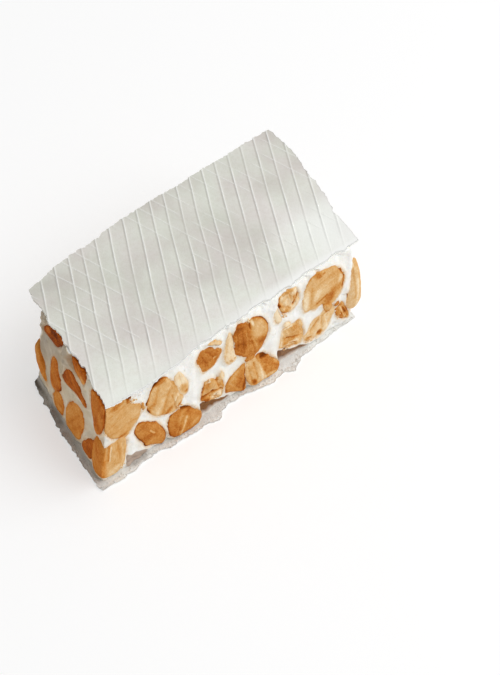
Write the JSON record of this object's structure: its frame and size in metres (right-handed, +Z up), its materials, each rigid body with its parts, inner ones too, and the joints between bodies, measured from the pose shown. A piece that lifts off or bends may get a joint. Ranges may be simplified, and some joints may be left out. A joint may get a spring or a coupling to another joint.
{
  "type": "almond nougat bar",
  "caption": "Thick bar of white nougat full of toasted almonds between two sheets of embossed wafer, cut from a slab on a slant and lying on its bottom wafer.",
  "frame": {"origin": "on the flat underside of the bottom wafer, under the middle of the bar", "axes": "+X along the long front cut, +Y from the front cut to the back one, +Z up from the bottom wafer to the top one"},
  "size_m": [0.1256, 0.0634, 0.0401],
  "materials": {
    "nougat": "soft satin, slightly sticky, off-white",
    "almond": "matt toasted nut, light at the cut and brown at the skin",
    "wafer": "matt, paper-like, off-white"
  },
  "bodies": {
    "root": {"nougat": "nougat", "wafer_bottom": "wafer", "wafer_top": "wafer", "almond_front_01": "almond", "almond_front_02": "almond", "almond_front_03": "almond", "almond_front_04": "almond", "almond_front_05": "almond", "almond_front_06": "almond", "almond_front_07": "almond", "almond_front_08": "almond", "almond_front_09": "almond", "almond_front_10": "almond", "almond_front_11": "almond", "almond_front_12": "almond", "almond_front_13": "almond", "almond_front_14": "almond", "almond_front_15": "almond", "almond_front_16": "almond", "almond_left_01": "almond", "almond_left_02": "almond", "almond_left_03": "almond", "almond_left_04": "almond", "almond_left_05": "almond", "almond_left_06": "almond", "almond_left_07": "almond", "almond_left_08": "almond", "almond_right_01": "almond", "almond_right_02": "almond", "almond_right_03": "almond", "almond_right_04": "almond", "almond_right_05": "almond", "almond_back_01": "almond", "almond_back_02": "almond", "almond_back_03": "almond", "almond_back_04": "almond", "almond_back_05": "almond", "almond_back_06": "almond", "almond_back_07": "almond", "almond_back_08": "almond", "almond_back_09": "almond", "almond_back_10": "almond", "almond_back_11": "almond", "almond_back_12": "almond", "almond_back_13": "almond", "almond_edge_01": "almond", "almond_edge_02": "almond", "almond_edge_03": "almond"}
  },
  "joints": []
}
